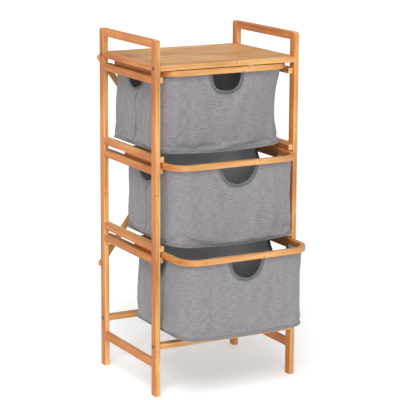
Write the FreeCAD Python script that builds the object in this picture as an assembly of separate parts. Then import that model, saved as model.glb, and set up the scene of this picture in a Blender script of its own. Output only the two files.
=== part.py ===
import FreeCAD, Part
import math
import os

# Bamboo laundry rack with three slide-out fabric baskets. Millimetres, +Z up, front towards -Y.
# The origin is on the floor, at the middle of the box that holds the whole rack with its
# baskets pulled out as far as they stand at rest.

# Whole frame
HEIGHT = 970.0
WIDTH = 440.0
DEPTH = 340.0

# Posts and rails of the two ladder-shaped side frames
POST_X = 15.0
POST_Y = 25.0
POST_TOP_RADIUS = 10.0
EDGE = 1.5
RAIL_RECESS = 0.5
TOP_RAIL_Z = 22.0
RAIL_Z = 18.0
FOOT_RAIL_Z = 22.0
FOOT_RAIL_BOTTOM = 78.0

# Levels: the height of the faces that carry the basket rims, from the top basket down
LEVELS = (1, 2, 3)
FIRST_LEVEL = 871.0
LEVEL_PITCH = 243.0
SLOT_Z = 17.0

# Guide strips screwed inside the posts, above and below each slot
STRIP_X = 12.0
STRIP_Z = 15.0
UPPER_STRIP_SETBACK = 3.0
LOWER_STRIP_SETBACK = 10.0

# Shelf and crossbars
BAR_Y = 25.0
BAR_Z = 15.0
SHELF_BOTTOM = FIRST_LEVEL + SLOT_Z
PANEL_Z = 12.0
PANEL_DROP = 1.0
PLANKS = 5
PLANK_GROOVE = 1.2
CROSSBAR_BOTTOM = 131.5

# Diagonal braces behind the rear posts
BRACE_WIDTH = 15.5
BRACE_Y = 8.0
BRACE_TOP = 880.0
BRACE_BOTTOM = 301.0
BRACE_OVERHANG = 7.0
CROSSING_GAP = 0.2

# Basket rims: one bent bamboo loop each
RIM_X = 400.0
RIM_Y = 338.0
RIM_THICK = 15.0
RIM_Z = 15.0
RIM_RADIUS = 62.0
RIM_LIFT = 0.3
RIM_EDGE = 2.0

# Fabric bags: top hem in a groove under the rim, waist, and flat base
CLOTH = 2.0
HEM_INSET = 11.0
HEM_DEPTH = 5.8
GROOVE_PLAY = 0.1
BAG_Z = 204.0
WAIST_Z = 125.0
WAIST_INSET = 18.0
BASE_X = 376.0
BASE_Y = 314.0
BASE_RADIUS = 44.0
BOARD_Z = 3.0
BOARD_INSET = 4.0

# Carrying holes in the front and the two sides of each bag
HOLE_WIDTH = 84.0
HOLE_DEPTH = 46.0
BINDING = 9.0
BINDING_PROUD = 0.5

# How far each basket stands out of the frame at rest
PULLED_OUT = {1: 5.0, 2: 66.0, 3: 125.0}

# Fasteners
BOLT_SHANK = 6.0
BOLT_HEAD = 11.0
BOLT_HEAD_Z = 2.2
BOLT_SINK = 1.4
BOLT_LENGTH = 45.0
BOLT_SOCKET = 4.0
NUT_DIAMETER = 10.0
NUT_LENGTH = 11.0
NUT_FROM_END = 22.0
SCREW_SHANK = 4.0
SCREW_HEAD = 9.0
SCREW_HEAD_Z = 2.5
BRACE_SCREW_LENGTH = 26.0
GUIDE_SCREW_LENGTH = 21.0
GUIDE_SCREW_HEAD = 7.0
GUIDE_SCREW_SINK = 2.6
GUIDE_SCREW_SETBACK = 17.0
DOWEL_DIAMETER = 6.0
DOWEL_IN_POST = 5.0
DOWEL_IN_RAIL = 16.0
HOLE_PLAY = 0.1
HOLE_SPARE = 0.5

# Places worked out from the sizes above
BACK_PROUD = BRACE_Y + SCREW_HEAD_Z
TOTAL_Y = max(PULLED_OUT.values()) + DEPTH + BACK_PROUD
FRONT = max(PULLED_OUT.values()) - TOTAL_Y / 2
BACK = FRONT + DEPTH
SIDES = {"left": -1, "right": 1}
ENDS = {"front": 1, "rear": -1}
POST_MIDDLE_X = WIDTH / 2 - POST_X / 2
INNER_X = WIDTH / 2 - POST_X

V = FreeCAD.Vector


def level_z(level):
    """Height of the face that carries a basket's rim."""
    return FIRST_LEVEL - LEVEL_PITCH * (level - 1)


def post_middle_y(end):
    """Y of the middle of the front or rear posts."""
    return FRONT + POST_Y / 2 if end == "front" else BACK - POST_Y / 2


def block(xs, ys, zs):
    """A box between two values on each axis, given in either order."""
    low = V(min(xs), min(ys), min(zs))
    high = V(max(xs), max(ys), max(zs))
    size = high - low
    return Part.makeBox(size.x, size.y, size.z, low)


def runs_along(edge, axis):
    """True if a straight edge lies along the axis 0, 1 or 2."""
    if len(edge.Vertexes) != 2:
        return False
    step = edge.Vertexes[1].Point - edge.Vertexes[0].Point
    return abs(abs(step[axis]) - step.Length) < 1e-6


def bar(xs, ys, zs, axis, radius=EDGE):
    """A box whose long edges, along the axis, are rounded."""
    solid = block(xs, ys, zs)
    return solid.makeFillet(radius, [e for e in solid.Edges if runs_along(e, axis)])


def cylinder(radius, length, start, direction):
    return Part.makeCylinder(radius, length, start, direction)


def mirrored(xs, side):
    """A pair of X values, given for the right-hand side, on the stated side."""
    return (xs[0] * SIDES[side], xs[1] * SIDES[side])


def side_frame_rails(side):
    """Name, lowest and highest Z of each rail between the posts of one side frame."""
    rails = {
        f"{side}_top_rail": (HEIGHT - TOP_RAIL_Z, HEIGHT),
        f"{side}_shelf_rail": (SHELF_BOTTOM, SHELF_BOTTOM + BAR_Z),
        f"{side}_foot_rail": (FOOT_RAIL_BOTTOM, FOOT_RAIL_BOTTOM + FOOT_RAIL_Z),
    }
    for level in LEVELS:
        z = level_z(level)
        rails[f"{side}_rail_{level}_lower"] = (z - RAIL_Z, z)
        if level > 1:
            rails[f"{side}_rail_{level}_upper"] = (z + SLOT_Z, z + SLOT_Z + RAIL_Z)
    return rails


def guide_strips(side):
    """Name, lowest Z and front setback of each guide strip of one side frame."""
    strips = {}
    for level in LEVELS:
        z = level_z(level)
        strips[f"{side}_guide_{level}_lower"] = (z - STRIP_Z, LOWER_STRIP_SETBACK)
        if level > 1:
            strips[f"{side}_guide_{level}_upper"] = (z + SLOT_Z, UPPER_STRIP_SETBACK)
    return strips


def dowel_places():
    """Start and direction of each dowel, from inside a post towards its rail."""
    places = []
    for side in SIDES:
        for low, high in side_frame_rails(side).values():
            for end, inwards in ENDS.items():
                face = FRONT + POST_Y if end == "front" else BACK - POST_Y
                start = V(
                    POST_MIDDLE_X * SIDES[side],
                    face - DOWEL_IN_POST * inwards,
                    (low + high) / 2,
                )
                places.append((start, V(0, inwards, 0)))
    return places


def bolt_places():
    """Middle of each bolt's head on a post's outer face, and its direction inwards."""
    places = []
    for side, sign in SIDES.items():
        for end in ENDS:
            for bottom in (SHELF_BOTTOM, CROSSBAR_BOTTOM):
                start = V(WIDTH / 2 * sign, post_middle_y(end), bottom + BAR_Z / 2)
                places.append((start, V(-sign, 0, 0)))
    return places


def guide_screw_places():
    """Middle of each guide screw's head, in the strip's inner face, and its direction outwards."""
    places = []
    ys = (FRONT + GUIDE_SCREW_SETBACK, BACK - GUIDE_SCREW_SETBACK)
    for side, sign in SIDES.items():
        for bottom, _ in guide_strips(side).values():
            for y in ys:
                start = V((INNER_X - STRIP_X) * sign, y, bottom + STRIP_Z / 2)
                places.append((start, V(sign, 0, 0)))
    return places


def brace_screw_places():
    """Middle of each brace screw's head, on the rear of the brace."""
    places = []
    for sign in SIDES.values():
        for z in (BRACE_TOP, BRACE_BOTTOM):
            places.append((V(POST_MIDDLE_X * sign, BACK + BRACE_Y, z), V(0, -1, 0)))
    return places


def drilling(diameter, length, start, direction):
    """The hole for a round piece of the given diameter and length."""
    return cylinder(diameter / 2 + HOLE_PLAY, length + HOLE_SPARE, start, direction)


def fastener_holes():
    """Every hole drilled for the fasteners, as cylinders."""
    holes = []
    for start, way in dowel_places():
        length = DOWEL_IN_POST + DOWEL_IN_RAIL
        holes.append(cylinder(DOWEL_DIAMETER / 2 + HOLE_PLAY, length, start, way))
    for start, way in bolt_places():
        holes.append(drilling(BOLT_SHANK, BOLT_LENGTH, start, way))
        holes.append(cylinder(BOLT_HEAD / 2 + HOLE_PLAY, BOLT_SINK, start, way))
        holes.append(nut_hole(start, way))
    for start, way in guide_screw_places():
        holes.append(drilling(SCREW_SHANK, GUIDE_SCREW_LENGTH, start, way))
        holes.append(cylinder(GUIDE_SCREW_HEAD / 2 + HOLE_PLAY, GUIDE_SCREW_SINK, start, way))
    for start, way in brace_screw_places():
        holes.append(drilling(SCREW_SHANK, BRACE_SCREW_LENGTH, start, way))
    return holes


def nut_middle(start, direction):
    """Middle of the barrel nut that a bolt screws into."""
    return start + direction * (POST_X + NUT_FROM_END)


def nut_hole(start, direction):
    """Upright hole for a barrel nut, open at the underside of its bar."""
    middle = nut_middle(start, direction)
    foot = middle - V(0, 0, BAR_Z / 2)
    return drilling(NUT_DIAMETER, (BAR_Z + NUT_LENGTH) / 2, foot, V(0, 0, 1))


def drilled(solid, holes):
    """The solid without the holes that reach it."""
    box = solid.BoundBox
    reaching = [h for h in holes if box.intersect(h.BoundBox)]
    return solid.cut(reaching) if reaching else solid


def post(side, end):
    """One upright, with its outer top corner rounded in side view."""
    near = FRONT if end == "front" else BACK
    inwards = ENDS[end]
    far = near + POST_Y * inwards
    r = POST_TOP_RADIUS
    x = (WIDTH / 2 - POST_X) if side == "right" else -WIDTH / 2
    corner = V(x, near + r * inwards, HEIGHT - r)
    bend = math.radians(45)
    middle = corner + V(0, -r * math.cos(bend) * inwards, r * math.sin(bend))
    points = [V(x, near, HEIGHT - r), V(x, near, 0), V(x, far, 0), V(x, far, HEIGHT)]
    points.append(V(x, near + r * inwards, HEIGHT))
    edges = [Part.LineSegment(a, b).toShape() for a, b in zip(points, points[1:])]
    edges.append(Part.Arc(points[-1], middle, points[0]).toShape())
    solid = Part.Face(Part.Wire(edges)).extrude(V(POST_X, 0, 0))
    outline = [e for e in solid.Edges if not runs_along(e, 0) and e.BoundBox.ZMax > EDGE]
    inner_top = [e for e in outline if is_inner_top(e, far)]
    return solid.makeFillet(EDGE, [e for e in outline if e not in inner_top])


def is_inner_top(edge, far):
    """True for the edges on a post's top and on the side that meets the rails."""
    box = edge.BoundBox
    on_top = box.ZMin > HEIGHT - 1e-6
    on_rails = abs(box.YMin - far) < 1e-6 and abs(box.YMax - far) < 1e-6
    return on_top and on_rails


def frame_rail(side, zs):
    """One rail between the front and rear posts of a side frame."""
    xs = mirrored((INNER_X + RAIL_RECESS, WIDTH / 2 - RAIL_RECESS), side)
    return bar(xs, (FRONT + POST_Y, BACK - POST_Y), zs, 1)


def guide_strip(side, bottom, setback):
    """A strip inside the posts that carries a basket's rim or stops it from tipping."""
    xs = mirrored((INNER_X - STRIP_X, INNER_X), side)
    return bar(xs, (FRONT + setback, BACK - setback), (bottom, bottom + STRIP_Z), 1, EDGE / 2)


def crossbar(end, bottom):
    """A bar that joins the two side frames."""
    ys = (FRONT, FRONT + BAR_Y) if end == "front" else (BACK - BAR_Y, BACK)
    return bar((-INNER_X, INNER_X), ys, (bottom, bottom + BAR_Z), 0)


def shelf_panel():
    """The shelf between its two bars, as planks that run from side to side."""
    top = SHELF_BOTTOM + BAR_Z - PANEL_DROP
    start = FRONT + BAR_Y
    span = DEPTH - 2 * BAR_Y
    panel = block((-INNER_X, INNER_X), (start, start + span), (top - PANEL_Z, top))
    grooves = []
    for i in range(1, PLANKS):
        y = start + span * i / PLANKS
        half = (-PLANK_GROOVE, PLANK_GROOVE)
        groove = block((-WIDTH, WIDTH), half, half)
        groove.rotate(V(0, 0, 0), V(1, 0, 0), 45)
        groove.translate(V(0, y, top + PLANK_GROOVE * 0.4))
        grooves.append(groove)
    return panel.cut(grooves)


def brace_slat(low_end, high_end, gap=0.0):
    """A flat slat with round ends between two screws, rising from one side to the other."""
    run = high_end - low_end
    half = BRACE_WIDTH / 2 + gap
    length = run.Length + 2 * BRACE_OVERHANG
    slat = Part.makeBox(length, BRACE_Y, 2 * half, V(-BRACE_OVERHANG, 0, -half))
    for x in (-BRACE_OVERHANG, run.Length + BRACE_OVERHANG):
        slat = slat.fuse(cylinder(half, BRACE_Y, V(x, 0, 0), V(0, 1, 0)))
    slat = slat.removeSplitter()
    slat.rotate(V(0, 0, 0), V(0, 1, 0), -math.degrees(math.atan2(run.z, run.x)))
    slat.translate(low_end)
    return slat


def braces():
    """The two braces, halved into each other where they cross."""
    solids = {}
    x = POST_MIDDLE_X
    ends = {
        "brace_rising_right": (V(-x, BACK, BRACE_BOTTOM), V(x, BACK, BRACE_TOP)),
        "brace_rising_left": (V(x, BACK, BRACE_BOTTOM), V(-x, BACK, BRACE_TOP)),
    }
    halves = {
        "brace_rising_right": (BACK - 1, BACK + BRACE_Y / 2 + CROSSING_GAP / 2),
        "brace_rising_left": (BACK + BRACE_Y / 2 - CROSSING_GAP / 2, BACK + BRACE_Y + 1),
    }
    names = list(ends)
    for name, other in zip(names, reversed(names)):
        slab = block((-WIDTH, WIDTH), halves[name], (0, HEIGHT))
        notch = brace_slat(*ends[other], gap=CROSSING_GAP).common(slab)
        solids[name] = brace_slat(*ends[name]).cut(notch)
    return solids


def hex_socket(start, direction, across, depth):
    """A six-sided recess for a hex key."""
    radius = across / math.sqrt(3)
    side = V(0, 0, 1)
    other = direction.cross(side)
    corners = []
    for i in range(7):
        turn = math.radians(60 * i)
        corners.append(start + side * (radius * math.cos(turn)) + other * (radius * math.sin(turn)))
    return Part.Face(Part.makePolygon(corners)).extrude(direction * depth)


def headed(start, direction, shank, length, head, head_z, sink, socket):
    """A bolt or screw: a round head around start, and a shank along the direction."""
    top = start - direction * (head_z - sink)
    cap = cylinder(head / 2, head_z, top, direction)
    rim = [e for e in cap.Edges if is_outer_rim(e, top, direction)]
    cap = cap.makeFillet(head_z * 0.3, rim)
    solid = cap.fuse(cylinder(shank / 2, length - sink, start + direction * sink, direction))
    return solid.removeSplitter().cut(hex_socket(top, direction, socket, head_z * 0.6))


def is_outer_rim(edge, top, direction):
    """True for the round edge in the plane through top, square to the direction."""
    middle = edge.BoundBox.Center
    return abs((middle - top).dot(direction)) < 1e-6 and len(edge.Vertexes) == 1


def frame_bolts():
    return [
        headed(start, way, BOLT_SHANK, BOLT_LENGTH, BOLT_HEAD, BOLT_HEAD_Z, BOLT_SINK, BOLT_SOCKET)
        for start, way in bolt_places()
    ]


def barrel_nuts():
    """One cross-drilled barrel nut for each bolt."""
    nuts = []
    for start, way in bolt_places():
        foot = nut_middle(start, way) - V(0, 0, NUT_LENGTH / 2)
        nut = cylinder(NUT_DIAMETER / 2, NUT_LENGTH, foot, V(0, 0, 1))
        bore = cylinder(BOLT_SHANK / 2 + HOLE_PLAY, BOLT_LENGTH + POST_X, start, way)
        nuts.append(nut.cut(bore))
    return nuts


def brace_screws():
    return [
        headed(start, way, SCREW_SHANK, BRACE_SCREW_LENGTH, SCREW_HEAD, SCREW_HEAD_Z, 0.0, 3.0)
        for start, way in brace_screw_places()
    ]


def guide_screws():
    sink = GUIDE_SCREW_SINK
    return [
        headed(start, way, SCREW_SHANK, GUIDE_SCREW_LENGTH, GUIDE_SCREW_HEAD, sink - 0.3, sink, 2.5)
        for start, way in guide_screw_places()
    ]


def frame_dowels():
    length = DOWEL_IN_POST + DOWEL_IN_RAIL - 1.0
    return [
        cylinder(DOWEL_DIAMETER / 2, length, start + way * 0.5, way)
        for start, way in dowel_places()
    ]


def rounded_rectangle(half_x, low_y, high_y, radius, z):
    """A closed wire of four straight edges and four arcs, always in the same order."""
    diagonal = radius * math.cos(math.radians(45))
    edges = []
    for sx, sy in ((1, -1), (1, 1), (-1, 1), (-1, -1)):
        y = low_y if sy < 0 else high_y
        middle = V(sx * (half_x - radius), y - sy * radius, z)
        along_x = middle + V(sx * radius, 0, 0)
        along_y = middle + V(0, sy * radius, 0)
        bend = middle + V(sx * diagonal, sy * diagonal, 0)
        first, last = (along_y, along_x) if sx * sy < 0 else (along_x, along_y)
        if edges:
            edges.append(Part.LineSegment(end, first).toShape())
        else:
            begin = first
        edges.append(Part.Arc(first, bend, last).toShape())
        end = last
    edges.append(Part.LineSegment(end, begin).toShape())
    return Part.Wire(edges)


def basket_ys(level):
    """Front and rear of a basket's rim at rest."""
    front = FRONT - PULLED_OUT[level]
    return front, front + RIM_Y


def rim_outline(level, inset, z):
    """The rim's outer outline, moved inwards by inset."""
    front, rear = basket_ys(level)
    return rounded_rectangle(
        RIM_X / 2 - inset, front + inset, rear - inset, RIM_RADIUS - inset, z
    )


def rim_bottom(level):
    return level_z(level) + RIM_LIFT


def rim_band(level, outer, inner, bottom, height):
    """A band between two insets of the rim's outline."""
    shape = Part.Face(rim_outline(level, outer, bottom))
    shape = shape.cut(Part.Face(rim_outline(level, inner, bottom)))
    return shape.Faces[0].extrude(V(0, 0, height))


def basket_rim(level):
    """A bent bamboo loop with rounded edges and a groove for the hem in its underside."""
    bottom = rim_bottom(level)
    rim = rim_band(level, 0, RIM_THICK, bottom, RIM_Z)
    rim = rim.makeFillet(RIM_EDGE, [e for e in rim.Edges if e.BoundBox.ZLength < 1e-6])
    groove = rim_band(
        level,
        HEM_INSET - GROOVE_PLAY,
        HEM_INSET + CLOTH + GROOVE_PLAY,
        bottom,
        HEM_DEPTH + GROOVE_PLAY,
    )
    return rim.cut(groove)


def bag_sections(level, inwards):
    """Outlines of the bag from hem to base, moved inwards from its outer face."""
    bottom = rim_bottom(level)
    front, rear = basket_ys(level)
    middle_y = (front + rear) / 2
    hem = HEM_INSET + inwards
    base_z = bottom - BAG_Z + max(inwards, 0.0)
    return [
        rim_outline(level, hem, bottom + HEM_DEPTH),
        rim_outline(level, hem, bottom - CLOTH),
        rim_outline(level, WAIST_INSET + inwards, bottom - WAIST_Z),
        rounded_rectangle(
            BASE_X / 2 - inwards,
            middle_y - BASE_Y / 2 + inwards,
            middle_y + BASE_Y / 2 - inwards,
            BASE_RADIUS - inwards,
            base_z,
        ),
    ]


def bag_body(level, inwards):
    """The bag's outer shape as one full solid, moved inwards from its outer face."""
    return Part.makeLoft(bag_sections(level, inwards), True, True)


def hole_prism(width, depth, length):
    """A U-shaped prism along +Y, with its flat top at Z 0 and its middle at the origin."""
    radius = width / 2
    straight = depth - radius
    corners = [V(-radius, 0, -straight), V(-radius, 0, 0), V(radius, 0, 0), V(radius, 0, -straight)]
    edges = [Part.LineSegment(a, b).toShape() for a, b in zip(corners, corners[1:])]
    edges.append(Part.Arc(corners[3], V(0, 0, -depth), corners[0]).toShape())
    face = Part.Face(Part.Wire(edges))
    return face.extrude(V(0, length, 0))


def carrying_holes(level, grow):
    """Prisms through the front and the two sides, larger by grow than the real holes."""
    front, rear = basket_ys(level)
    middle_y = (front + rear) / 2
    reach = RIM_Y / 4
    prisms = []
    for turn, x, y in ((0, 0, front), (90, RIM_X / 2, middle_y), (-90, -RIM_X / 2, middle_y)):
        prism = hole_prism(HOLE_WIDTH + 2 * grow, HOLE_DEPTH + grow, reach)
        prism.rotate(V(0, 0, 0), V(0, 0, 1), turn)
        prism.translate(V(x, y, rim_bottom(level)))
        prisms.append(prism)
    return prisms


def basket_bag(level):
    """The sewn bag: walls and base of one cloth thickness, with its carrying holes."""
    shell = bag_body(level, 0.0).cut(bag_body(level, CLOTH))
    return shell.cut(carrying_holes(level, BINDING))


def basket_bindings(level):
    """The bound edges of the carrying holes, a little thicker than the cloth."""
    thick = bag_body(level, -BINDING_PROUD).cut(bag_body(level, CLOTH + BINDING_PROUD))
    below_rim = rim_bottom(level)
    bindings = []
    for wide, narrow in zip(carrying_holes(level, BINDING), carrying_holes(level, 0.0)):
        band = wide.cut(narrow).common(thick)
        keep = block((-WIDTH, WIDTH), (-DEPTH * 2, DEPTH * 2), (0, below_rim))
        bindings.append(band.common(keep))
    return bindings


def base_board(level):
    """The stiff board that lies in the bottom of the bag."""
    front, rear = basket_ys(level)
    middle_y = (front + rear) / 2
    bottom = rim_bottom(level) - BAG_Z + CLOTH + HOLE_PLAY
    outline = rounded_rectangle(
        BASE_X / 2 - BOARD_INSET,
        middle_y - BASE_Y / 2 + BOARD_INSET,
        middle_y + BASE_Y / 2 - BOARD_INSET,
        BASE_RADIUS - BOARD_INSET,
        bottom,
    )
    return Part.Face(outline).extrude(V(0, 0, BOARD_Z))


def frame_nodes():
    """Every wooden piece of the fixed frame, drilled for its fasteners."""
    solids = {}
    for side in SIDES:
        for end in ENDS:
            solids[f"{side}_{end}_post"] = post(side, end)
        for name, zs in side_frame_rails(side).items():
            solids[name] = frame_rail(side, zs)
        for name, (bottom, setback) in guide_strips(side).items():
            solids[name] = guide_strip(side, bottom, setback)
    for end in ENDS:
        solids[f"shelf_{end}_bar"] = crossbar(end, SHELF_BOTTOM)
        solids[f"{end}_crossbar"] = crossbar(end, CROSSBAR_BOTTOM)
    solids["shelf_panel"] = shelf_panel()
    solids.update(braces())
    holes = fastener_holes()
    return {name: drilled(solid, holes) for name, solid in solids.items()}


def fastener_nodes():
    return {
        "frame_bolts": Part.makeCompound(frame_bolts()),
        "barrel_nuts": Part.makeCompound(barrel_nuts()),
        "brace_screws": Part.makeCompound(brace_screws()),
        "guide_screws": Part.makeCompound(guide_screws()),
        "frame_dowels": Part.makeCompound(frame_dowels()),
    }


def basket_nodes(level):
    return {
        f"basket_{level}_rim": basket_rim(level),
        f"basket_{level}_bag": basket_bag(level),
        f"basket_{level}_bindings": Part.makeCompound(basket_bindings(level)),
        f"basket_{level}_base_board": base_board(level),
    }


def main():
    os.makedirs("parts", exist_ok=True)
    nodes = frame_nodes()
    nodes.update(fastener_nodes())
    for level in LEVELS:
        nodes.update(basket_nodes(level))
    for name, shape in nodes.items():
        valid = "valid" if shape.isValid() else "NOT VALID"
        print(f"{name}: {len(shape.Solids)} solids, {shape.Volume / 1000:.1f} cm3, {valid}")
        shape.exportStep(f"parts/{name}.step")
    print(f"{len(nodes)} nodes")


main()
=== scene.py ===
import math

import bpy
from mathutils import Matrix, Vector, noise


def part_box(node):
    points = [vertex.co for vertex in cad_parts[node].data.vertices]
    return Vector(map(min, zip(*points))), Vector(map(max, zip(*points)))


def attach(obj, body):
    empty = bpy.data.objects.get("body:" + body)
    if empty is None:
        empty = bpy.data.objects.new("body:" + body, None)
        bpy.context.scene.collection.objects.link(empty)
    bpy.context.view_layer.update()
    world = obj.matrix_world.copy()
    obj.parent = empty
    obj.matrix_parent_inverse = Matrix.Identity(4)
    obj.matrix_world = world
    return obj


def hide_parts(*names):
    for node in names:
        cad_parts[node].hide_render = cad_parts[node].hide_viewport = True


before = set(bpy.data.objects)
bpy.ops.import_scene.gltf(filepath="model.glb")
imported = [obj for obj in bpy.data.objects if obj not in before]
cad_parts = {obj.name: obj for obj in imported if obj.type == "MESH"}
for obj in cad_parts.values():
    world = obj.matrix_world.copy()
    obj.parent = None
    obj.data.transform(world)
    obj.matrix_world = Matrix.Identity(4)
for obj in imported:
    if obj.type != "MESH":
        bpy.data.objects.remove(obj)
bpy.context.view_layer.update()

# The bags follow these sizes, in metres. The rest comes from the CAD nodes.
BASKETS = (1, 2, 3)
BODIES = {1: "top_basket", 2: "middle_basket", 3: "bottom_basket"}
HEM_INSET = 0.0110
HEM_RADIUS = 0.051
BASE_RADIUS = 0.046
BAG_DEPTH = 0.204
TUCK = 0.003
CLOTH = 0.0016
BINDING = 0.009
PATCH_HALF = 0.078
RIM_CORNER = 0.062
BOARD_MARGIN = 0.006
BOARD_STEPS = 160
OUTLINE_STEPS = 2000
CELL = 0.0055
ROWS = 36
PATCH_ROWS = 14
PIPING_RADIUS = 0.0015
SEAM_DROP = BAG_DEPTH + TUCK - 0.0065
FOLD_TOP = 0.048
FOLD_LEAN = 0.060
FOLD_BACK = 0.004
FOLD_HALF = 0.026
FOLD_DEPTH = 0.0085
BOARD_THICK = 0.003
FLOOR_SIZE = 80.0

# How each bag has settled: half sizes of its base, how far its waist is drawn in, how far the
# middle of its base hangs down, the shape of its carrying holes, and how far its base swings aside.
SETTLED = {
    1: {"base": (0.1905, 0.1600), "waist": (-0.0030, 0.0165), "sag": 0.0090, "hole": (0.0445, 0.0465),
        "squareness": 2.9, "front_hole": -0.002, "side_hole": 0.010, "swing": (-0.006, 0.006)},
    2: {"base": (0.1890, 0.1580), "waist": (0.0000, 0.0035), "sag": 0.0095, "hole": (0.0530, 0.0490),
        "squareness": 2.1, "front_hole": 0.002, "side_hole": 0.008, "swing": (0.0, 0.0)},
    3: {"base": (0.1885, 0.1585), "waist": (0.0010, 0.0030), "sag": 0.0060, "hole": (0.0465, 0.0495),
        "squareness": 2.2, "front_hole": -0.005, "side_hole": 0.0, "swing": (-0.003, 0.0)},
}


# ---------------------------------------------------------------- camera

def make_camera():
    """The photo's view: from the front left, slightly above the middle of the rack."""
    azimuth = math.radians(28.78)
    tilt = math.radians(11.64)
    roll = math.radians(0.30)
    place = Vector((-2.2400, -4.0341, 1.5099))
    forward = Vector((
        math.sin(azimuth) * math.cos(tilt),
        math.cos(azimuth) * math.cos(tilt),
        -math.sin(tilt),
    ))
    level_right = Vector((math.cos(azimuth), -math.sin(azimuth), 0.0))
    level_up = level_right.cross(forward)
    right = math.cos(roll) * level_right + math.sin(roll) * level_up
    up = math.cos(roll) * level_up - math.sin(roll) * level_right
    data = bpy.data.cameras.new("camera")
    data.sensor_width = 36.0
    data.lens = 153.6
    data.shift_y = -0.05
    data.clip_end = 50.0
    camera = bpy.data.objects.new("camera", data)
    bpy.context.scene.collection.objects.link(camera)
    rotation = Matrix((right, up, -forward)).transposed().to_4x4()
    camera.matrix_world = Matrix.Translation(place) @ rotation
    bpy.context.scene.camera = camera


# ---------------------------------------------------------------- shader helpers

class Graph:
    """Short names for the shader nodes that the materials are made of."""

    def __init__(self, name):
        self.material = bpy.data.materials.new(name)
        self.material.use_nodes = True
        self.tree = self.material.node_tree
        self.tree.nodes.clear()

    def node(self, kind, inputs=None, **settings):
        """A node with its settings and inputs. An input is a value or another node's output."""
        made = self.tree.nodes.new(kind)
        for key, value in settings.items():
            setattr(made, key, value)
        for key, value in (inputs or {}).items():
            if isinstance(value, bpy.types.NodeSocket):
                self.tree.links.new(value, made.inputs[key])
            else:
                made.inputs[key].default_value = value
        return made

    def math(self, operation, a, b=0.0, c=0.0):
        made = self.node("ShaderNodeMath", {0: a, 1: b, 2: c}, operation=operation)
        return made.outputs[0]

    def vector(self, operation, a, b=(0.0, 0.0, 0.0)):
        made = self.node("ShaderNodeVectorMath", {0: a, 1: b}, operation=operation)
        return made.outputs["Value"] if operation in ("DOT_PRODUCT", "LENGTH") else made.outputs[0]

    def combine(self, x, y, z=0.0):
        return self.node("ShaderNodeCombineXYZ", {"X": x, "Y": y, "Z": z}).outputs[0]

    def noise(self, vector, scale=1.0, detail=3.0, roughness=0.5, distortion=0.0):
        inputs = {
            "Vector": vector,
            "Scale": scale,
            "Detail": detail,
            "Roughness": roughness,
            "Distortion": distortion,
        }
        return self.node("ShaderNodeTexNoise", inputs).outputs["Fac"]

    def white(self, vector):
        """A random value from 0 to 1 for each whole vector."""
        return self.node("ShaderNodeTexWhiteNoise", {"Vector": vector}).outputs["Value"]

    def spread(self, value, low, high, new_low=0.0, new_high=1.0):
        """Maps low..high to new_low..new_high with smooth ends."""
        inputs = {
            "Value": value,
            "From Min": low,
            "From Max": high,
            "To Min": new_low,
            "To Max": new_high,
        }
        made = self.node("ShaderNodeMapRange", inputs, interpolation_type="SMOOTHSTEP")
        return made.outputs["Result"]

    def mix(self, factor, a, b, blend="MIX"):
        made = self.node("ShaderNodeMix", data_type="RGBA", blend_type=blend)
        for key, value in (("Factor_Float", factor), ("A_Color", a), ("B_Color", b)):
            socket = next(s for s in made.inputs if s.identifier == key)
            if isinstance(value, bpy.types.NodeSocket):
                self.tree.links.new(value, socket)
            elif key == "Factor_Float":
                socket.default_value = value
            else:
                socket.default_value = (*value, 1.0)
        return next(s for s in made.outputs if s.identifier == "Result_Color")

    def bump(self, height, distance, strength=1.0):
        inputs = {"Height": height, "Distance": distance, "Strength": strength}
        return self.node("ShaderNodeBump", inputs).outputs[0]

    def finish(self, **inputs):
        """The surface shader and the output."""
        names = {k.replace("_", " "): v for k, v in inputs.items()}
        surface = self.node("ShaderNodeBsdfPrincipled", names)
        self.node("ShaderNodeOutputMaterial", {"Surface": surface.outputs[0]})
        return self.material


# ---------------------------------------------------------------- materials

BAMBOO_LIGHT = (0.870, 0.545, 0.235)
BAMBOO_MID = (0.670, 0.335, 0.108)
BAMBOO_DARK = (0.390, 0.135, 0.034)
BAMBOO_KNOT = (0.200, 0.062, 0.018)
# Painted shade: multiplies the colour of the wood faces that look left and right.
SIDE_SHADE = (0.88, 0.59, 0.38)
STRIP_WIDTH = 0.0050
STRIP_HEIGHT = 0.0190
JOINT_SPACING = 0.43
WEAVE = 0.0010
# Painted shade for the groove of the stitched seam and for the fold creases.
SEAM_AND_CREASE_SHADE = (0.060, 0.058, 0.062)


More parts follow.
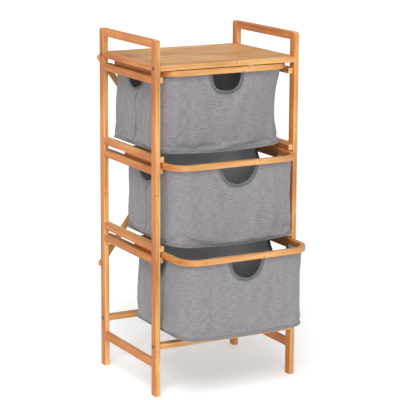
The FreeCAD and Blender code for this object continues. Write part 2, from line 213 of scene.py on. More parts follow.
def bamboo_from(g, along, across, depth, normal_along=None):
    """Glued bamboo strips from three lengths in metres: along the grain, and the two across it."""
    strip = g.combine(
        g.math("FLOOR", g.math("DIVIDE", across, STRIP_HEIGHT)),
        g.math("FLOOR", g.math("DIVIDE", depth, STRIP_WIDTH)),
    )
    tone = g.white(strip)
    shift = g.white(g.vector("ADD", strip, (7.0, 3.0, 5.0)))
    stretched = g.combine(g.math("MULTIPLY", along, 5.0), g.math("MULTIPLY", across, 420.0),
                          g.math("MULTIPLY", depth, 420.0))
    moved = g.vector("ADD", stretched, g.combine(g.math("MULTIPLY", shift, 90.0), 0.0))
    fibre = g.noise(moved, 1.0, 4.0, 0.65)
    fine = g.noise(g.vector("MULTIPLY", moved, (4.0, 3.1, 3.1)), 1.0, 2.0, 0.6)
    cloud = g.noise(g.combine(g.math("MULTIPLY", along, 9.0), g.math("MULTIPLY", across, 30.0),
                              g.math("MULTIPLY", depth, 30.0)), 1.0, 2.0)
    color = g.mix(g.spread(fibre, 0.36, 0.66), BAMBOO_MID, BAMBOO_LIGHT)
    color = g.mix(g.spread(fine, 0.55, 0.75, 0.0, 0.35), color, BAMBOO_DARK)
    color = g.mix(g.spread(tone, 0.0, 1.0, 0.0, 0.40), color, BAMBOO_DARK)
    color = g.mix(g.spread(cloud, 0.35, 0.70, 0.0, 0.28), color, BAMBOO_LIGHT)
    streak = g.noise(g.combine(g.math("MULTIPLY", along, 5.0), g.math("MULTIPLY", across, 130.0),
                               g.math("MULTIPLY", depth, 130.0)), 1.0, 3.0, 0.6)
    color = g.mix(g.spread(streak, 0.48, 0.68, 0.0, 0.62), color, BAMBOO_DARK)
    board = g.noise(g.combine(g.math("MULTIPLY", along, 4.0), g.math("MULTIPLY", across, 9.0),
                              g.math("MULTIPLY", depth, 9.0)), 1.0, 2.0, 0.5)
    color = g.mix(g.spread(board, 0.42, 0.66, 0.0, 0.42), color, BAMBOO_DARK)
    # Each strip has its own joints of the cane, as thin dark bands.
    wander = g.math("MULTIPLY", g.math("SUBTRACT", fibre, 0.5), 0.004)
    place = g.math("DIVIDE", g.math("ADD", along, wander), JOINT_SPACING)
    place = g.math("ADD", place, g.math("MULTIPLY", shift, 5.0))
    off = g.math("ABSOLUTE", g.math("SUBTRACT", g.math("FRACT", place), 0.5))
    band = g.spread(off, 0.0, 0.0055, 1.0, 0.0)
    halo = g.spread(off, 0.0, 0.030, 0.55, 0.0)
    color = g.mix(halo, color, BAMBOO_MID)
    color = g.mix(g.math("MULTIPLY", band, 0.55), color, BAMBOO_KNOT)
    # Glue lines between the strips.
    line = g.math("FRACT", g.math("DIVIDE", depth, STRIP_WIDTH))
    glue = g.spread(g.math("ABSOLUTE", g.math("SUBTRACT", line, 0.5)), 0.47, 0.50)
    color = g.mix(g.math("MULTIPLY", glue, 0.35), color, BAMBOO_DARK)
    if normal_along is not None:
        pores = g.node("ShaderNodeTexVoronoi", {"Vector": g.combine(across, depth), "Scale": 900.0})
        grain = g.mix(g.spread(pores.outputs["Distance"], 0.15, 0.5), BAMBOO_KNOT, BAMBOO_LIGHT)
        color = g.mix(g.math("MULTIPLY", normal_along, 0.75), color, grain)
    # Painted shade: the faces that look left and right, where the strips' edges show, are made a deeper,
    # darker brown.
    normal = g.node("ShaderNodeNewGeometry").outputs["True Normal"]
    sideways = g.math("ABSOLUTE", g.vector("DOT_PRODUCT", normal, (1.0, 0.0, 0.0)))
    color = g.mix(g.spread(sideways, 0.35, 0.85), color, g.mix(1.0, color, SIDE_SHADE, "MULTIPLY"))
    height = g.math("ADD", g.math("MULTIPLY", fibre, 0.5), g.math("MULTIPLY", fine, 0.5))
    height = g.math("SUBTRACT", height, g.math("MULTIPLY", glue, 0.4))
    return g.finish(
        Base_Color=color,
        Roughness=g.spread(fine, 0.3, 0.7, 0.36, 0.52),
        Specular_IOR_Level=0.26,
        Normal=g.bump(height, 0.00012, 0.6),
    )


def bamboo(name, direction, side):
    """Bamboo with its grain along a direction. Side is the way the glued strips are stacked."""
    g = Graph(name)
    position = g.node("ShaderNodeTexCoord").outputs["Object"]
    direction = Vector(direction).normalized()
    side = Vector(side).normalized()
    other = direction.cross(side)
    normal = g.node("ShaderNodeNewGeometry").outputs["True Normal"]
    facing = g.math("ABSOLUTE", g.vector("DOT_PRODUCT", normal, tuple(direction)))
    return bamboo_from(
        g,
        g.vector("DOT_PRODUCT", position, tuple(direction)),
        g.vector("DOT_PRODUCT", position, tuple(other)),
        g.vector("DOT_PRODUCT", position, tuple(side)),
        g.spread(facing, 0.80, 0.95),
    )


def rim_bamboo(basket):
    """Bamboo bent round a loop: the grain follows the rim."""
    g = Graph(f"rim_{basket}_bamboo")
    low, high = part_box(f"basket_{basket}_rim")
    middle = (low + high) / 2
    straight = (high - low) / 2 - Vector((RIM_CORNER, RIM_CORNER, 0.0))
    position = g.node("ShaderNodeTexCoord").outputs["Object"]
    local = g.vector("SUBTRACT", position, tuple(middle))
    parts = g.node("ShaderNodeSeparateXYZ", {"Vector": local})
    x, y, z = parts.outputs
    over_x = g.math("MAXIMUM", g.math("SUBTRACT", g.math("ABSOLUTE", x), straight.x), 0.0)
    over_y = g.math("MAXIMUM", g.math("SUBTRACT", g.math("ABSOLUTE", y), straight.y), 0.0)
    outwards = g.vector("LENGTH", g.combine(over_x, over_y))
    turn = g.math("ARCTAN2", over_y, over_x)
    along = g.math("ADD", g.math("SUBTRACT", x, y), g.math("MULTIPLY", turn, RIM_CORNER))
    return bamboo_from(g, along, z, g.math("ADD", outwards, 0.0010))


def fabric(name, light, dark, slub=1.0, seam=9.0, folds=()):
    """Woven cloth with thick and thin threads, from UV maps in metres.

    Seam is the V of a stitched line, darkened as painted shade in its groove. Each fold is the U of a
    sharp upright crease and its lean, darkened along it as painted shade.
    """
    g = Graph(name)
    uv = g.node("ShaderNodeTexCoord").outputs["UV"]
    parts = g.node("ShaderNodeSeparateXYZ", {"Vector": uv})
    u, v = parts.outputs[0], parts.outputs[1]
    wobble = g.noise(uv, 140.0, 2.0)
    shifted_u = g.math("ADD", u, g.math("MULTIPLY", wobble, 0.0007))
    shifted_v = g.math("ADD", v, g.math("MULTIPLY", wobble, 0.0007))
    pitch = 2 * math.pi / WEAVE
    warp = g.math("SINE", g.math("MULTIPLY", shifted_u, pitch))
    weft = g.math("SINE", g.math("MULTIPLY", shifted_v, pitch))
    over = g.math("MULTIPLY", warp, weft)
    across = g.noise(g.combine(g.math("MULTIPLY", u, 45.0), g.math("MULTIPLY", v, 900.0)), 1.0, 3.0, 0.6)
    upright = g.noise(g.combine(g.math("MULTIPLY", u, 900.0), g.math("MULTIPLY", v, 45.0)), 1.0, 3.0, 0.6)
    speck = g.noise(uv, 620.0, 3.0, 0.7)
    cloud = g.noise(uv, 26.0, 3.0)
    threads = g.math("ADD", g.math("MULTIPLY", across, 0.62), g.math("MULTIPLY", upright, 0.38))
    color = g.mix(g.spread(threads, 0.38, 0.62), dark, light)
    lying = g.noise(g.combine(g.math("MULTIPLY", u, 32.0), g.math("MULTIPLY", v, 300.0)), 1.0, 2.0, 0.6)
    standing = g.noise(g.combine(g.math("MULTIPLY", u, 300.0), g.math("MULTIPLY", v, 32.0), 5.0),
                       1.0, 2.0, 0.6)
    color = g.mix(g.spread(lying, 0.50, 0.72, 0.0, 0.55 * slub), color, dark)
    color = g.mix(g.spread(standing, 0.50, 0.72, 0.0, 0.40 * slub), color, dark)
    color = g.mix(g.spread(lying, 0.28, 0.46, 0.45 * slub, 0.0), color, light)
    color = g.mix(g.spread(speck, 0.52, 0.72, 0.0, 0.45 * slub), color, dark)
    color = g.mix(g.spread(cloud, 0.3, 0.7, 0.0, 0.14), color, dark)
    color = g.mix(g.spread(over, -1.0, 1.0, 0.22, 0.0), color, dark)
    # Painted shade: a dark line along the groove of the stitched seam.
    line = g.spread(g.math("ABSOLUTE", g.math("SUBTRACT", v, seam)), 0.0003, 0.0011, 1.0, 0.0)
    color = g.mix(g.math("MULTIPLY", line, 0.60), color, SEAM_AND_CREASE_SHADE)
    # Painted shade: each upright crease is darkened along its fold.
    for place, lean in folds:
        beside = g.math("SUBTRACT", g.math("SUBTRACT", u, place), g.math("MULTIPLY", v, lean))
        crease = g.spread(g.math("ABSOLUTE", beside), 0.0008, 0.0034, 1.0, 0.0)
        crease = g.math("MULTIPLY", crease, g.spread(v, FOLD_TOP, FOLD_TOP + 0.02))
        color = g.mix(g.math("MULTIPLY", crease, 0.70), color, SEAM_AND_CREASE_SHADE)
    height = g.math("ADD", g.math("MULTIPLY", over, 0.5), g.math("MULTIPLY", threads, 1.4))
    height = g.math("SUBTRACT", height, g.math("MULTIPLY", line, 3.0))
    fine = g.bump(height, 0.00022, 0.75)
    return g.finish(
        Base_Color=color,
        Roughness=0.92,
        Specular_IOR_Level=0.25,
        Sheen_Weight=0.22,
        Sheen_Roughness=0.45,
        Normal=fine,
    )


def stitched_tape():
    """Dark binding tape with a line of lighter stitches, from UV maps: U along it, V across it."""
    g = Graph("binding_tape")
    uv = g.node("ShaderNodeTexCoord").outputs["UV"]
    parts = g.node("ShaderNodeSeparateXYZ", {"Vector": uv})
    u, v = parts.outputs[0], parts.outputs[1]
    ribs = g.math("SINE", g.math("MULTIPLY", u, 2 * math.pi / 0.0011))
    slub = g.noise(g.combine(g.math("MULTIPLY", u, 700.0), g.math("MULTIPLY", v, 120.0)), 1.0, 3.0)
    color = g.mix(g.spread(slub, 0.3, 0.7), (0.098, 0.098, 0.102), (0.185, 0.184, 0.190))
    color = g.mix(g.spread(ribs, -1.0, 1.0, 0.35, 0.0), color, (0.070, 0.070, 0.073))
    step = g.math("FRACT", g.math("DIVIDE", u, 0.0036))
    dash = g.math("MULTIPLY", g.spread(step, 0.10, 0.18), g.spread(step, 0.72, 0.80, 1.0, 0.0))
    row = g.spread(g.math("ABSOLUTE", g.math("SUBTRACT", v, 0.0020)), 0.00025, 0.00055, 1.0, 0.0)
    thread = g.math("MULTIPLY", dash, row)
    color = g.mix(g.math("MULTIPLY", thread, 0.85), color, (0.42, 0.42, 0.43))
    height = g.math("ADD", g.math("MULTIPLY", ribs, 0.3), g.math("MULTIPLY", thread, 2.0))
    return g.finish(
        Base_Color=color, Roughness=0.88, Specular_IOR_Level=0.25,
        Sheen_Weight=0.15, Normal=g.bump(height, 0.00015, 0.8),
    )


def felt():
    """Dark grey non-woven cloth over the base boards."""
    g = Graph("board_cloth")
    position = g.node("ShaderNodeTexCoord").outputs["Object"]
    fibres = g.noise(position, 900.0, 4.0, 0.7, 1.5)
    cloud = g.noise(position, 60.0, 3.0)
    dots = g.node("ShaderNodeTexVoronoi", {"Vector": position, "Scale": 420.0}).outputs["Distance"]
    color = g.mix(g.spread(fibres, 0.3, 0.7), (0.150, 0.152, 0.158), (0.250, 0.253, 0.262))
    color = g.mix(g.spread(cloud, 0.3, 0.7, 0.0, 0.3), color, (0.28, 0.28, 0.29))
    height = g.math("ADD", g.math("MULTIPLY", fibres, 0.6), g.math("MULTIPLY", dots, 0.6))
    return g.finish(Base_Color=color, Roughness=0.93, Specular_IOR_Level=0.2,
                    Normal=g.bump(height, 0.0002, 0.7))


def bronze():
    """Bronze-plated steel of the bolts and screws."""
    g = Graph("bronze_steel")
    position = g.node("ShaderNodeTexCoord").outputs["Object"]
    flake = g.node("ShaderNodeTexVoronoi", {"Vector": position, "Scale": 900.0}).outputs["Color"]
    tone = g.node("ShaderNodeSeparateXYZ", {"Vector": flake}).outputs[0]
    scuff = g.noise(position, 700.0, 4.0, 0.7)
    color = g.mix(tone, (0.20, 0.115, 0.055), (0.30, 0.18, 0.090))
    return g.finish(Base_Color=color, Metallic=1.0,
                    Roughness=g.spread(scuff, 0.3, 0.7, 0.40, 0.58),
                    Normal=g.bump(scuff, 0.00004, 0.5))


def paper_floor():
    """A pale, even studio floor."""
    g = Graph("floor_paper")
    position = g.node("ShaderNodeTexCoord").outputs["Object"]
    grain = g.noise(position, 300.0, 3.0)
    color = g.mix(g.spread(grain, 0.3, 0.7), (0.86, 0.86, 0.865), (0.885, 0.885, 0.89))
    return g.finish(Base_Color=color, Roughness=0.9, Specular_IOR_Level=0.1,
                    Emission_Color=(1.0, 1.0, 1.0, 1.0), Emission_Strength=0.28)


# ---------------------------------------------------------------- the CAD pieces' finishes

def give(obj, material):
    """The object's only material."""
    obj.data.materials.clear()
    obj.data.materials.append(material)


def brace_direction(name):
    """Along the brace, from its lower to its upper end."""
    low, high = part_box(name)
    slope = Vector((high.x - low.x, 0.0, high.z - low.z))
    if name == "brace_rising_left":
        slope.x = -slope.x
    return slope


def finish_cad_pieces():
    """Bamboo with its grain along each bar, and steel fasteners."""
    x, y, z = (1, 0, 0), (0, 1, 0), (0, 0, 1)
    upright = bamboo("bamboo_upright", z, y)
    lengthways = bamboo("bamboo_lengthways", y, z)
    sideways = bamboo("bamboo_sideways", x, y)
    planks = bamboo("bamboo_planks", x, y)
    steel = bronze()
    for name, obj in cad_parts.items():
        if name.endswith("_post"):
            give(obj, upright)
        elif name.endswith("bar"):
            give(obj, sideways)
        elif name == "shelf_panel":
            give(obj, planks)
        elif name.startswith("brace_rising"):
            give(obj, bamboo(f"{name}_bamboo", brace_direction(name), y))
        elif "_rail" in name or "_guide_" in name:
            give(obj, lengthways)
        elif name == "frame_dowels":
            give(obj, lengthways)
        elif name.startswith("basket_"):
            continue
        else:
            give(obj, steel)
    for basket in BASKETS:
        give(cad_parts[f"basket_{basket}_rim"], rim_bamboo(basket))


# ---------------------------------------------------------------- bag shape

def rounded_rectangle(share, half, radius):
    """A point of a rounded rectangle, share 0..1 around it from the middle of the front."""
    straight_x = half.x - radius
    straight_y = half.y - radius
    arc = math.pi / 2 * radius
    pieces = (
        ("line", Vector((0, -half.y)), Vector((1, 0)), straight_x),
        ("arc", Vector((straight_x, -straight_y)), -90, arc),
        ("line", Vector((half.x, -straight_y)), Vector((0, 1)), 2 * straight_y),
        ("arc", Vector((straight_x, straight_y)), 0, arc),
        ("line", Vector((straight_x, half.y)), Vector((-1, 0)), 2 * straight_x),
        ("arc", Vector((-straight_x, straight_y)), 90, arc),
        ("line", Vector((-half.x, straight_y)), Vector((0, -1)), 2 * straight_y),
        ("arc", Vector((-straight_x, -straight_y)), 180, arc),
        ("line", Vector((-straight_x, -half.y)), Vector((1, 0)), straight_x),
    )
    s = share % 1.0 * sum(piece[3] for piece in pieces)
    for kind, start, way, span in pieces:
        if s <= span:
            break
        s -= span
    if kind == "line":
        return start + way * min(s, span)
    angle = math.radians(way) + s / radius
    return start + Vector((math.cos(angle), math.sin(angle))) * radius


def smooth(value):
    """0 to 1 with soft ends."""
    value = min(1.0, max(0.0, value))
    return value * value * (3 - 2 * value)


class BagShape:
    """Where the cloth of one bag hangs before it settles, from its place around and its depth."""

    def __init__(self, basket):
        low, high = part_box(f"basket_{basket}_rim")
        facts = SETTLED[basket]
        self.rim_bottom = low.z
        self.top = low.z + TUCK
        self.height = BAG_DEPTH + TUCK
        self.middle = Vector(((low.x + high.x) / 2, (low.y + high.y) / 2))
        self.half = Vector(((high.x - low.x) / 2 - HEM_INSET, (high.y - low.y) / 2 - HEM_INSET))
        self.base = Vector(facts["base"])
        self.swing = Vector(facts["swing"])
        self.waist = facts["waist"]
        self.sag = facts["sag"]
        self.basket = basket
        straight = 4 * (self.half.x + self.half.y - 2 * HEM_RADIUS)
        self.length = straight + 2 * math.pi * HEM_RADIUS
        quarter = self.half.x + self.half.y - 2 * HEM_RADIUS + math.pi / 2 * HEM_RADIUS
        self.side = quarter / self.length
        self.folds = (
            (quarter + FOLD_BACK, FOLD_LEAN),
            (self.length - quarter - FOLD_BACK, -FOLD_LEAN),
        )

    def base_height(self, x):
        """Height of the base's underside at x from its middle."""
        hang = max(0.0, 1.0 - (x / self.base.x) ** 2)
        return self.top - self.height - self.sag * hang

    def point(self, share, drop):
        """The cloth at share 0..1 around the bag and drop 0..1 down it."""
        top = rounded_rectangle(share, self.half, HEM_RADIUS)
        bottom = rounded_rectangle(share, self.base, BASE_RADIUS) + self.swing
        flat = top.lerp(bottom, 0.6 * drop + 0.4 * smooth(drop))
        outwards = Vector((flat.x / self.half.x, flat.y / self.half.y))
        waist_left, waist_right = self.waist
        to_right = smooth(0.5 + 0.5 * outwards.x)
        drawn = math.sin(math.pi * drop ** 0.85) * (waist_left + (waist_right - waist_left) * to_right)
        corner = smooth((min(abs(outwards.x), abs(outwards.y)) - 0.45) / 0.45)
        amount = drawn * (0.45 + 0.55 * corner)
        amount += self.crease(share, drop)
        flat -= Vector((outwards.x ** 3, outwards.y ** 3)).normalized() * amount
        place = Vector((self.middle.x + flat.x, self.middle.y + flat.y, 0.0))
        lowest = self.base_height(flat.x)
        place.z = self.top + (lowest - self.top) * drop
        ripple = noise.noise(Vector((share * 23.0, drop * 3.0, self.basket * 7.3)))
        ripple += 0.5 * noise.noise(Vector((share * 61.0, drop * 7.0, self.basket * 3.1)))
        free = math.sin(math.pi * drop) ** 0.6
        way = Vector((outwards.x ** 3, outwards.y ** 3, 0.0)).normalized()
        return place + way * (ripple * 0.0022 * free)

    def crease(self, share, drop):
        """The upright fold in the middle of each side, along which the bag folds flat."""
        amount = 0.0
        for middle in (self.side, 1.0 - self.side):
            back = 1.0 if middle < 0.5 else -1.0
            lean = back * (FOLD_BACK + FOLD_LEAN * drop * self.height)
            off = abs((share - middle) * self.length - lean)
            amount = max(amount, max(0.0, 1.0 - off / FOLD_HALF) ** 1.6)
        return FOLD_DEPTH * amount * smooth((drop - 0.10) / 0.15) * smooth((1.0 - drop) / 0.2)


def hole_outline(basket, count):
    """Even steps round a hole's edge, from its left end at the hem to its right end, with normals."""
    half, depth = SETTLED[basket]["hole"]
    power = 2.0 / SETTLED[basket]["squareness"]
    fine = []
    for i in range(OUTLINE_STEPS + 1):
        angle = math.pi * i / OUTLINE_STEPS
        x = -half * math.copysign(abs(math.cos(angle)) ** power, math.cos(angle))
        fine.append(Vector((x, depth * math.sin(angle) ** power)))
    lengths = [0.0]
    for a, b in zip(fine, fine[1:]):
        lengths.append(lengths[-1] + (b - a).length)
    points = []
    at = 0
    for i in range(count + 1):
        wanted = lengths[-1] * i / count
        while at < len(fine) - 2 and lengths[at + 1] < wanted:
            at += 1
        span = lengths[at + 1] - lengths[at]
        points.append(fine[at].lerp(fine[at + 1], (wanted - lengths[at]) / span))
    result = []
    for i, point in enumerate(points):
        before, after = points[max(0, i - 1)], points[min(count, i + 1)]
        along = (after - before).normalized()
        normal = Vector((-along.y, along.x))
        if i in (0, count):
            normal = Vector((math.copysign(1, point.x), 0))
        result.append((point, normal))
    return result


class WallBuilder:
    """The cloth wall of a bag as a mesh in (distance around, depth), closed round the bag."""

    def __init__(self, shape):
        self.shape = shape
        self.flat = []
        self.faces = []
        self.index = {}
        self.columns = round(shape.length / CELL / 4) * 4
        self.step = shape.length / self.columns
        self.row = shape.height / ROWS
        self.holes = []

    def vertex(self, u, v):
        """The number of the vertex at distance u around and v down, made if it isn't there yet."""
        around = self.shape.length
        key = (round(u % around * 1e5) % round(around * 1e5), round(v * 1e5))
        if key not in self.index:
            self.index[key] = len(self.flat)
            self.flat.append((u % around, v))
        return self.index[key]

    def windows(self):
        """The middle column of each hole's patch, and how many columns it takes to each side."""
        half = round(PATCH_HALF / self.step)
        shares = (0.0, self.shape.side, 1 - self.shape.side)
        return [(round(share * self.columns), half) for share in shares]

    def inside(self, column, window):
        middle, half = window
        offset = (column - middle + self.columns // 2) % self.columns - self.columns // 2
        return -half <= offset < half

    def build(self):
        """Fills flat with the vertices and faces with their numbers."""
        windows = self.windows()
        for i in range(self.columns):
            for j in range(ROWS):
                if j < PATCH_ROWS and any(self.inside(i, window) for window in windows):
                    continue
                corners = [(i, j), (i, j + 1), (i + 1, j + 1), (i + 1, j)]
                self.faces.append([self.vertex(a * self.step, b * self.row) for a, b in corners])
        facts = SETTLED[self.shape.basket]
        shifts = (facts["front_hole"], facts["side_hole"], -facts["side_hole"])
        for (middle, half), shift in zip(windows, shifts):
            self.patch(middle, half, shift)

    def patch(self, middle, half, shift):
        """Rings of faces from a hole's edge out to the edges of its window."""
        outer = [(-half * self.step, j * self.row) for j in range(PATCH_ROWS + 1)]
        outer += [(i * self.step, PATCH_ROWS * self.row) for i in range(-half + 1, half + 1)]
        outer += [(half * self.step, j * self.row) for j in range(PATCH_ROWS - 1, -1, -1)]
        inner = hole_outline(self.shape.basket, len(outer) - 1)
        levels = [(BINDING * t, 0.0) for t in (0.0, 0.5, 1.0)]
        levels += [(BINDING, t) for t in (0.2, 0.4, 0.6, 0.8, 1.0)]
        rings = []
        for offset, blend in levels:
            ring = []
            for (point, normal), edge in zip(inner, outer):
                place = point + Vector((shift, 0.0)) + normal * offset
                place = place.lerp(Vector(edge), blend)
                ring.append(self.vertex(middle * self.step + place.x, max(0.0, place.y)))
            rings.append(ring)
        for a, b in zip(rings, rings[1:]):
            for k in range(len(inner) - 1):
                self.faces.append([a[k], b[k], b[k + 1], a[k + 1]])
        self.holes.append(rings[:3])

    def bottom_row(self):
        """The vertices round the bottom edge, in order."""
        return [self.vertex(i * self.step, ROWS * self.row) for i in range(self.columns)]


# ---------------------------------------------------------------- sewn pieces

def new_object(name, vertices, faces, uvs, material):
    """A smooth mesh with one UV per vertex, in metres."""
    mesh = bpy.data.meshes.new(name)
    mesh.from_pydata([tuple(v) for v in vertices], [], faces)
    layer = mesh.uv_layers.new(name="UVMap")
    for loop in mesh.loops:
        layer.data[loop.index].uv = uvs[loop.vertex_index]
    mesh.materials.append(material)
    obj = bpy.data.objects.new(name, mesh)
    bpy.context.scene.collection.objects.link(obj)
    for polygon in mesh.polygons:
        polygon.use_smooth = True
    return obj


def mend_seam_uvs(obj, length):
    """Puts the UVs of the faces that close the loop on one side of the seam."""
    layer = obj.data.uv_layers[0]
    for polygon in obj.data.polygons:
        values = [layer.data[i].uv[0] for i in polygon.loop_indices]
        if max(values) - min(values) > length / 2:
            for i in polygon.loop_indices:
                if layer.data[i].uv[0] < length / 2:
                    layer.data[i].uv[0] += length


def settle(wall, flat, height, seed):
    """Lets the cloth hang between its hem and its base until it stops moving."""
    pins = wall.vertex_groups.new(name="pins")
    for number, (_, v) in enumerate(flat):
        if v < TUCK * 1.4 or v > height * 0.999:
            pins.add([number], 1.0, "REPLACE")
    modifier = wall.modifiers.new("hang", "CLOTH")
    cloth = modifier.settings
    cloth.vertex_group_mass = "pins"
    cloth.quality = 5
    cloth.mass = 0.35
    cloth.tension_stiffness = 45.0
    cloth.compression_stiffness = 30.0
    cloth.shear_stiffness = 12.0
    cloth.bending_stiffness = 2.2
    cloth.tension_damping = 20.0
    cloth.compression_damping = 20.0
    cloth.shear_damping = 15.0
    cloth.bending_damping = 2.0
    cloth.air_damping = 6.0
    cloth.shrink_min = -0.010
    modifier.collision_settings.use_collision = False
    scene = bpy.context.scene
    last = 26 + seed
    modifier.point_cache.frame_start = 1
    modifier.point_cache.frame_end = last
    for number in range(1, last + 1):
        scene.frame_set(number)
    graph = bpy.context.evaluated_depsgraph_get()
    hung = wall.evaluated_get(graph)
    places = [vertex.co.copy() for vertex in hung.data.vertices]
    wall.modifiers.remove(modifier)
    scene.frame_set(1)
    for vertex, place in zip(wall.data.vertices, places):
        vertex.co = place
    wall.data.update()


def crumple(wall, flat, shape):
    """Adds the shallow creases that used cloth keeps."""
    mesh = wall.data
    normals = [vertex.normal.copy() for vertex in mesh.vertices]
    for vertex, normal, (u, v) in zip(mesh.vertices, normals, flat):
        drop = v / shape.height
        free = smooth(drop / 0.15) * smooth((1.0 - drop) / 0.08)
        around = 2 * math.pi * u / shape.length
        place = Vector((math.cos(around) * 0.21, math.sin(around) * 0.21, v * 0.8 + shape.basket * 3.0))
        broad = noise.noise(place * 14.0)
        ridge = 0.35 - abs(noise.noise(place * 9.0 + Vector((9.0, 2.0, 5.0))))
        fine = 0.30 - abs(noise.noise(place * 26.0 + Vector((1.0, 7.0, 3.0))))
        height = 0.0030 * broad + 0.0044 * max(0.0, ridge) + 0.0016 * max(0.0, fine)
        vertex.co += normal * (height - 0.0008) * free
    mesh.update()


def make_bag(basket, finishes):
    """The soft parts of one basket: wall, base, board, bindings and piping."""
    shape = BagShape(basket)
    builder = WallBuilder(shape)
    builder.build()
    points = [shape.point(u / shape.length, v / shape.height) for u, v in builder.flat]
    wall = new_object(f"bag_{basket}_wall", points, builder.faces, builder.flat, finishes["outside"])
    mend_seam_uvs(wall, shape.length)
    settle(wall, builder.flat, shape.height, basket)
    crumple(wall, builder.flat, shape)
    wall.data.materials.append(finishes["lining"])
    thick = wall.modifiers.new("cloth", "SOLIDIFY")
    thick.thickness = CLOTH
    thick.offset = -1.0
    thick.material_offset = 1
    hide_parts(f"basket_{basket}_bag")
    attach(wall, BODIES[basket])
    for number, rings in enumerate(builder.holes):
        make_binding(basket, number, wall, rings, shape.rim_bottom, finishes["tape"])
    edge = [wall.data.vertices[i].co.copy() for i in builder.bottom_row()]
    make_base(basket, shape, edge, finishes["outside"])
    make_piping(basket, edge, finishes["piping"])
    make_board(basket, shape, finishes["board"])


def make_binding(basket, number, wall, rings, rim_bottom, tape):
    """Tape folded over the edge of one hole."""
    mesh = wall.data
    edge, _, inner = rings
    vertices = []
    uvs = []
    length = 0.0
    lift = 0.0007
    for k, (a, b) in enumerate(zip(edge, inner)):
        at, back = mesh.vertices[a].co, mesh.vertices[b].co
        out_at, out_back = mesh.vertices[a].normal, mesh.vertices[b].normal
        into_hole = (at - back).normalized()
        if k:
            length += (at - mesh.vertices[edge[k - 1]].co).length
        ring = (
            (back + out_back * 0.0001, 0.0),
            (back + out_back * lift, 0.0008),
            (at + out_at * lift, 0.0090),
            (at + out_at * (lift * 0.3) + into_hole * 0.0009, 0.0100),
            (at - out_at * CLOTH * 0.6 + into_hole * 0.0012, 0.0110),
            (at - out_at * (CLOTH + lift), 0.0090),
            (back - out_back * (CLOTH + lift), 0.0008),
            (back - out_back * (CLOTH - 0.0001), 0.0),
        )
        for place, v in ring:
            place.z = min(place.z, rim_bottom - 0.0002)
            vertices.append(place)
            uvs.append((length, v))
    count = len(ring)
    faces = []
    for k in range(len(edge) - 1):
        for j in range(count):
            a, b = k * count + j, k * count + (j + 1) % count
            faces.append([a, b, b + count, a + count])
    faces.append(list(range(count)))
    faces.append([(len(edge) - 1) * count + j for j in reversed(range(count))])
    obj = new_object(f"bag_{basket}_binding_{number + 1}", vertices, faces, uvs, tape)
    if number == 0:
        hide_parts(f"basket_{basket}_bindings")
    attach(obj, BODIES[basket])


def make_base(basket, shape, edge, cloth):
    """The cloth under the bag, from its edge in rings to its middle."""
    shares = (1.0, 0.985, 0.95, 0.85, 0.7, 0.5, 0.3, 0.12)
    centre = shape.middle + shape.swing
    vertices = []
    for share in shares:
        for place in edge:
            x = (place.x - centre.x) * share
            y = (place.y - centre.y) * share
            z = place.z if share == 1.0 else shape.base_height(x)
            vertices.append(Vector((centre.x + x, centre.y + y, z)))
    count = len(edge)
    faces = []
    for ring in range(len(shares) - 1):
        for k in range(count):
            a, b = ring * count + k, ring * count + (k + 1) % count
            faces.append([a, a + count, b + count, b])
    faces.append([(len(shares) - 1) * count + k for k in reversed(range(count))])
    uvs = [(v.x, v.y - 1.0) for v in vertices]
    obj = new_object(f"bag_{basket}_base", vertices, faces, uvs, cloth)
    thick = obj.modifiers.new("cloth", "SOLIDIFY")
    thick.thickness = CLOTH
    thick.offset = -1.0
    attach(obj, BODIES[basket])


def make_piping(basket, edge, cloth):
    """The corded seam round the bag's bottom edge."""
    count = len(edge)
    sides = 8
    vertices = []
    uvs = []
    length = 0.0
    for k, place in enumerate(edge):
        along = (edge[(k + 1) % count] - edge[k - 1]).normalized()
        out = along.cross(Vector((0, 0, 1))).normalized()
        up = out.cross(along).normalized()
        for j in range(sides):
            turn = 2 * math.pi * j / sides
            way = out * math.cos(turn) + up * math.sin(turn)
            vertices.append(place + out * PIPING_RADIUS * 0.5 + way * PIPING_RADIUS)
            uvs.append((length, PIPING_RADIUS * turn))
        length += (edge[(k + 1) % count] - place).length
    faces = []
    for k in range(count):
        for j in range(sides):
            a, b = k * sides + j, k * sides + (j + 1) % sides
            c, d = (k + 1) % count * sides + (j + 1) % sides, (k + 1) % count * sides + j
            faces.append([a, d, c, b])
    obj = new_object(f"bag_{basket}_piping", vertices, faces, uvs, cloth)
    mend_seam_uvs(obj, length)
    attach(obj, BODIES[basket])


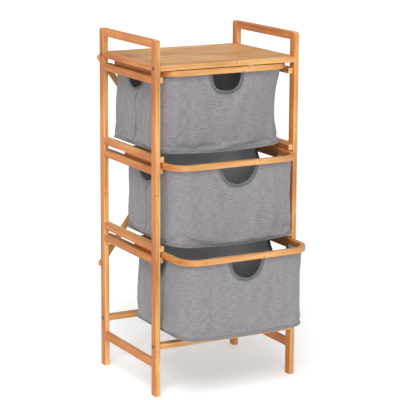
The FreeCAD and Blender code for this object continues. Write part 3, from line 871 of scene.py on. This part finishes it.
def make_board(basket, shape, cover):
    """The covered board in the bottom, hanging with the base."""
    half = shape.base - Vector((BOARD_MARGIN, BOARD_MARGIN))
    centre = shape.middle + shape.swing
    corner = BASE_RADIUS - BOARD_MARGIN
    outline = [rounded_rectangle(i / BOARD_STEPS, half, corner) for i in range(BOARD_STEPS)]
    shares = (1.0, 0.99, 0.96, 0.85, 0.65, 0.4, 0.15)
    vertices = []
    for side, bump in ((0, 0.0), (1, BOARD_THICK)):
        for ring, share in enumerate(shares):
            for point in outline:
                x, y = point.x * share, point.y * share
                rounding = 0.0008 if ring == 0 else 0.0
                lift = 0.0003 + bump + (rounding if side == 0 else -rounding)
                vertices.append(Vector((
                    centre.x + x,
                    centre.y + y,
                    shape.base_height(x) + CLOTH + lift,
                )))
    count = len(outline)
    block = count * len(shares)
    faces = []
    for side in (0, 1):
        for ring in range(len(shares) - 1):
            for k in range(count):
                a = side * block + ring * count + k
                b = side * block + ring * count + (k + 1) % count
                face = [a, a + count, b + count, b]
                faces.append(face if side == 0 else face[::-1])
        inmost = [side * block + (len(shares) - 1) * count + k for k in range(count)]
        faces.append(inmost[::-1] if side == 0 else inmost)
    for k in range(count):
        a, b = k, (k + 1) % count
        faces.append([a, b, b + block, a + block])
    obj = new_object(f"bag_{basket}_board", vertices, faces, [(v.x, v.y) for v in vertices], cover)
    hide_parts(f"basket_{basket}_base_board")
    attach(obj, BODIES[basket])


# ---------------------------------------------------------------- floor and light

def make_stage():
    """A pale floor that runs off past the picture, and a white surround."""
    bpy.ops.mesh.primitive_plane_add(size=FLOOR_SIZE)
    floor = bpy.context.object
    floor.name = "floor"
    give(floor, paper_floor())
    world = bpy.data.worlds.new("studio")
    bpy.context.scene.world = world
    world.use_nodes = True
    background = world.node_tree.nodes["Background"]
    background.inputs["Color"].default_value = (1.0, 1.0, 1.0, 1.0)
    background.inputs["Strength"].default_value = 0.50
    scene = bpy.context.scene
    scene.view_settings.view_transform = "Standard"


def make_lights():
    """A broad key light from the front left, high up, and a low fill that reaches into the bags."""
    for name, energy, angle, toward in (
        ("key", 1.95, 34.0, (0.36, 0.58, -0.78)),
        ("fill", 0.80, 24.0, (0.42, 0.86, -0.20)),
    ):
        data = bpy.data.lights.new(name, "SUN")
        data.energy = energy
        data.angle = math.radians(angle)
        light = bpy.data.objects.new(name, data)
        light.rotation_euler = Vector(toward).to_track_quat("-Z", "Y").to_euler()
        bpy.context.scene.collection.objects.link(light)


# ---------------------------------------------------------------- build

make_camera()
finish_cad_pieces()
finishes = {
    "outside": fabric("heather_grey", (0.335, 0.317, 0.332), (0.185, 0.176, 0.188), slub=0.65,
                      seam=SEAM_DROP, folds=BagShape(1).folds),
    # Painted light: the lining is the same grey cloth as the outside, made much lighter to stand in for
    # light inside the bags.
    "lining": fabric("grey_lining_painted_light", (0.700, 0.710, 0.730), (0.550, 0.558, 0.575), slub=0.4),
    "piping": fabric("piping_grey", (0.290, 0.278, 0.290), (0.170, 0.165, 0.175)),
    "tape": stitched_tape(),
    "board": felt(),
}
for basket in BASKETS:
    make_bag(basket, finishes)
make_stage()
make_lights()
